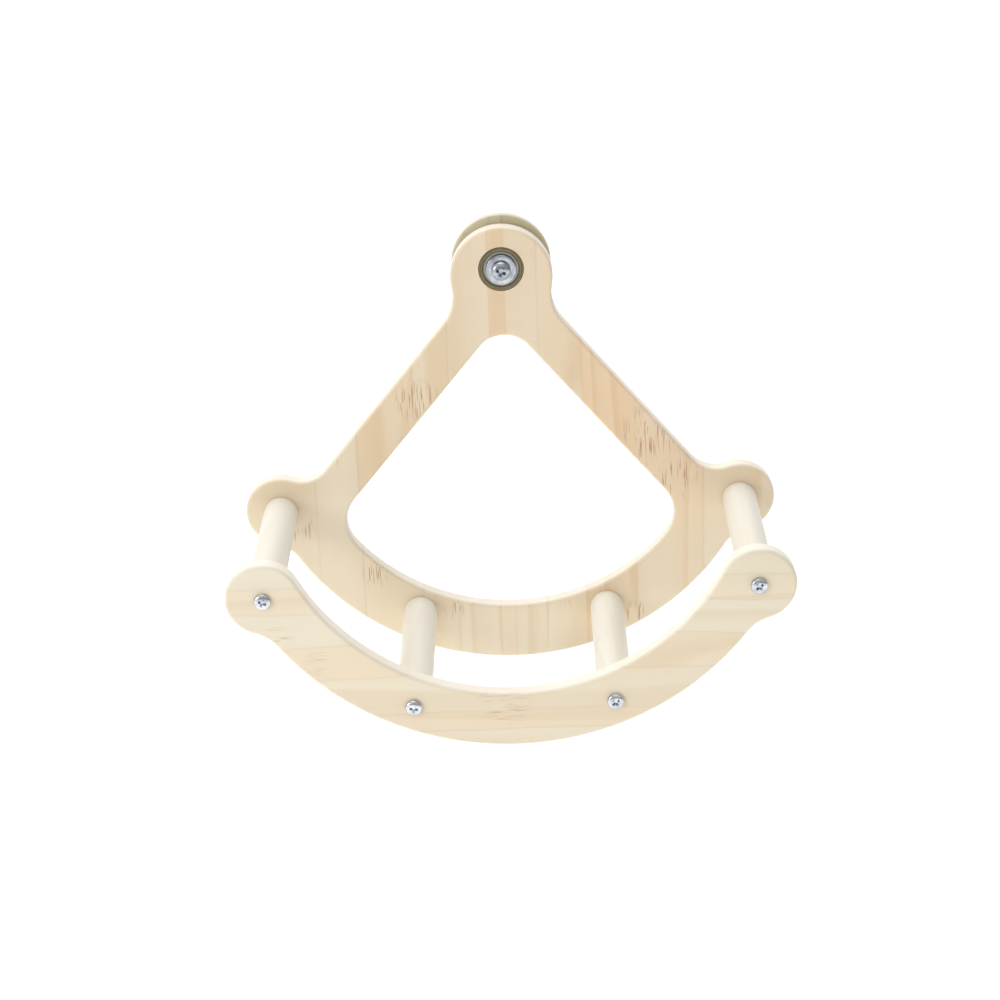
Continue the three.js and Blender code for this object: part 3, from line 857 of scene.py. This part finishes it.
# %% Wing nut
def soften(piece, width, segments, degrees=40):
    """Breaks every sharp edge of a piece."""
    modify(piece, "BEVEL", width=width, segments=segments, limit_method="ANGLE",
           angle_limit=math.radians(degrees), harden_normals=False, use_clamp_overlap=True)
    return piece


nut_low, nut_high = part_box("wing_nut")
NUT_BORE = 2.6 * MM
HUB_FOOT, HUB_TOP, HUB_HEIGHT = 5.5 * MM, 4.5 * MM, 6.5 * MM
EAR_RADIUS, EAR_THICKNESS, EAR_STEPS, EAR_SWEEP = 4.0 * MM, 2.4 * MM, 14, math.radians(144)
EAR_LIFT, EAR_OVERLAP, EAR_BREAK, TAP_CHAMFER = 1.2 * MM, 0.5 * MM, 0.7 * MM, 0.4 * MM
hub_section = [(0, nut_low.y), (HUB_FOOT, nut_low.y), (HUB_TOP, nut_low.y + HUB_HEIGHT),
               (0, nut_low.y + HUB_HEIGHT)]
hub = turned("pressed_wing_nut", rounded(hub_section, 0.5 * MM), 64)
ear_x, ear_y = nut_high.x - EAR_RADIUS, nut_high.y - EAR_RADIUS
ear = [(EAR_OVERLAP, nut_low.y + EAR_LIFT), (HUB_FOOT - 0.4 * MM, nut_low.y + EAR_LIFT)]
for step in range(EAR_STEPS + 1):
    angle = EAR_SWEEP * step / EAR_STEPS
    ear.append((ear_x + EAR_RADIUS * math.cos(angle), ear_y + EAR_RADIUS * math.sin(angle)))
ear_root = nut_low.y + HUB_HEIGHT - 0.6 * MM
ear += [(HUB_TOP - 0.6 * MM, ear_root), (EAR_OVERLAP, ear_root)]
for name, angle in (("right_ear", 0), ("left_ear", math.pi)):
    wing = soften(slab(name, ear, EAR_THICKNESS), EAR_BREAK, 4)
    wing.data.transform(Matrix.Rotation(angle, 4, "Y"))
    cut(hub, wing, "UNION")
tap = [(0, nut_low.y - MM), (NUT_BORE + TAP_CHAMFER, nut_low.y - MM), (NUT_BORE + TAP_CHAMFER, nut_low.y),
       (NUT_BORE, nut_low.y + TAP_CHAMFER), (NUT_BORE, nut_high.y), (0, nut_high.y)]
cut(hub, turned("tap", tap, 48))
hand_over(smooth(hub, 38), "wing_nut", zinc)

# %% [markdown]
# ## Camera, floor and light
# The toy is looked at from a little above, as a product on white, so the floor and the world are almost
# white. A long lens keeps the two plates nearly the same size. A lamp on the left, a broad one above for
# the upper edges and a weak one on the right keep the shadows open. The world is brighter above and
# behind than in front, as a white cove is.

# %% Camera
FOCAL_LENGTH, SENSOR_WIDTH, NEAREST = 90.0, 36.0, 0.01
CAMERA_PLACE = Vector((0.01371, -1.18554, 0.35821))
CAMERA_PITCH, CAMERA_YAW, CAMERA_ROLL = 0.38893, -0.0159, -0.03929

camera = bpy.data.objects.new("camera", bpy.data.cameras.new("camera"))
bpy.context.collection.objects.link(camera)
camera.data.lens = FOCAL_LENGTH
camera.data.sensor_width = SENSOR_WIDTH
camera.data.clip_start = NEAREST
ahead = Vector((math.sin(CAMERA_YAW) * math.cos(CAMERA_PITCH), math.cos(CAMERA_YAW) * math.cos(CAMERA_PITCH),
                -math.sin(CAMERA_PITCH)))
right = Vector((math.cos(CAMERA_YAW), -math.sin(CAMERA_YAW), 0))
upward = right.cross(ahead)
tilted_right = math.cos(CAMERA_ROLL) * right + math.sin(CAMERA_ROLL) * upward
tilted_up = math.cos(CAMERA_ROLL) * upward - math.sin(CAMERA_ROLL) * right
turn = Matrix((tilted_right, tilted_up, -ahead)).transposed().to_4x4()
camera.matrix_world = Matrix.Translation(CAMERA_PLACE) @ turn
bpy.context.scene.camera = camera
bpy.context.scene.view_settings.view_transform = "Standard"
print("camera at", [round(value, 3) for value in CAMERA_PLACE])

# %% Floor
FLOOR_SIZE, FLOOR_PLACE, FLOOR_GLOW = 12.0, (0, 2.0, -0.42), 0.22
bpy.ops.object.select_all(action="DESELECT")
bpy.ops.mesh.primitive_plane_add(size=FLOOR_SIZE, location=FLOOR_PLACE)
floor = bpy.context.object
floor.name = "floor"
floor_paint, floor_tree, floor_shader, floor_place = new_finish("floor_paint", Roughness=0.9)
speckle = noise(floor_tree, floor_place, 40.0)
pale = mixed(floor_tree, speckle, colour(250, 250, 250), colour(254, 254, 254))
floor_tree.links.new(pale, floor_shader.inputs["Base Color"])
floor_shader.inputs["Emission Color"].default_value = (1.0, 1.0, 1.0, 1.0)
floor_shader.inputs["Emission Strength"].default_value = FLOOR_GLOW
floor.data.materials.append(floor_paint)
print("floor at", FLOOR_PLACE[2])

# %% Lamps
LAMP_AIM = Vector((0, -0.06, -0.1))


def lamp(name, place, size, watts, tint):
    light = bpy.data.lights.new(name, "AREA")
    light.shape = "SQUARE"
    light.size = size
    light.energy = watts
    light.color = tint
    holder = bpy.data.objects.new(name, light)
    bpy.context.collection.objects.link(holder)
    aim = LAMP_AIM - Vector(place)
    holder.matrix_world = Matrix.Translation(place) @ aim.to_track_quat("-Z", "Y").to_matrix().to_4x4()
    print(name, watts, "W")


lamp("key_lamp", (-1.35, -1.1, 0.35), 0.6, 7.5, (1.0, 0.99, 0.97))
lamp("fill_lamp", (1.2, -1.3, 0.6), 1.4, 1.0, (0.97, 0.985, 1.0))
lamp("top_lamp", (-0.1, 0.25, 1.7), 1.2, 11.0, (0.98, 0.99, 1.0))

# %% World
WORLD_STRENGTH = 1.06
world = bpy.data.worlds.new("studio")
world.use_nodes = True
bpy.context.scene.world = world
studio = world.node_tree
background = studio.nodes["Background"]
direction = add(studio, "ShaderNodeTexCoord").outputs["Generated"]
directions = add(studio, "ShaderNodeSeparateXYZ", Vector=direction).outputs


def from_side_to_side(axis, stops):
    """A ramp from one end of an axis, at 0, to the other, at 1."""
    return ramp(studio, maths(studio, "ADD", maths(studio, "MULTIPLY", directions[axis], 0.5), 0.5), stops)


ceiling = from_side_to_side(Z, [(0.0, 0.52), (0.42, 0.36), (0.55, 0.42), (0.8, 0.80), (1.0, 0.95)])
backdrop = from_side_to_side(Y, [(0.0, 0.0), (0.55, 0.0), (0.85, 0.75), (1.0, 1.0)])
dim_side = from_side_to_side(X, [(0.0, 1.0), (0.55, 1.0), (0.85, 0.55), (1.0, 0.45)])
soft_box = mixed(studio, 1.0, mixed(studio, 1.0, ceiling, backdrop, "ADD"), dim_side, "MULTIPLY")
seen = add(studio, "ShaderNodeLightPath").outputs["Is Camera Ray"]
studio.links.new(mixed(studio, seen, soft_box, (1.0, 1.0, 1.0)), background.inputs["Color"])
background.inputs["Strength"].default_value = WORLD_STRENGTH
print("world made:", world.name)
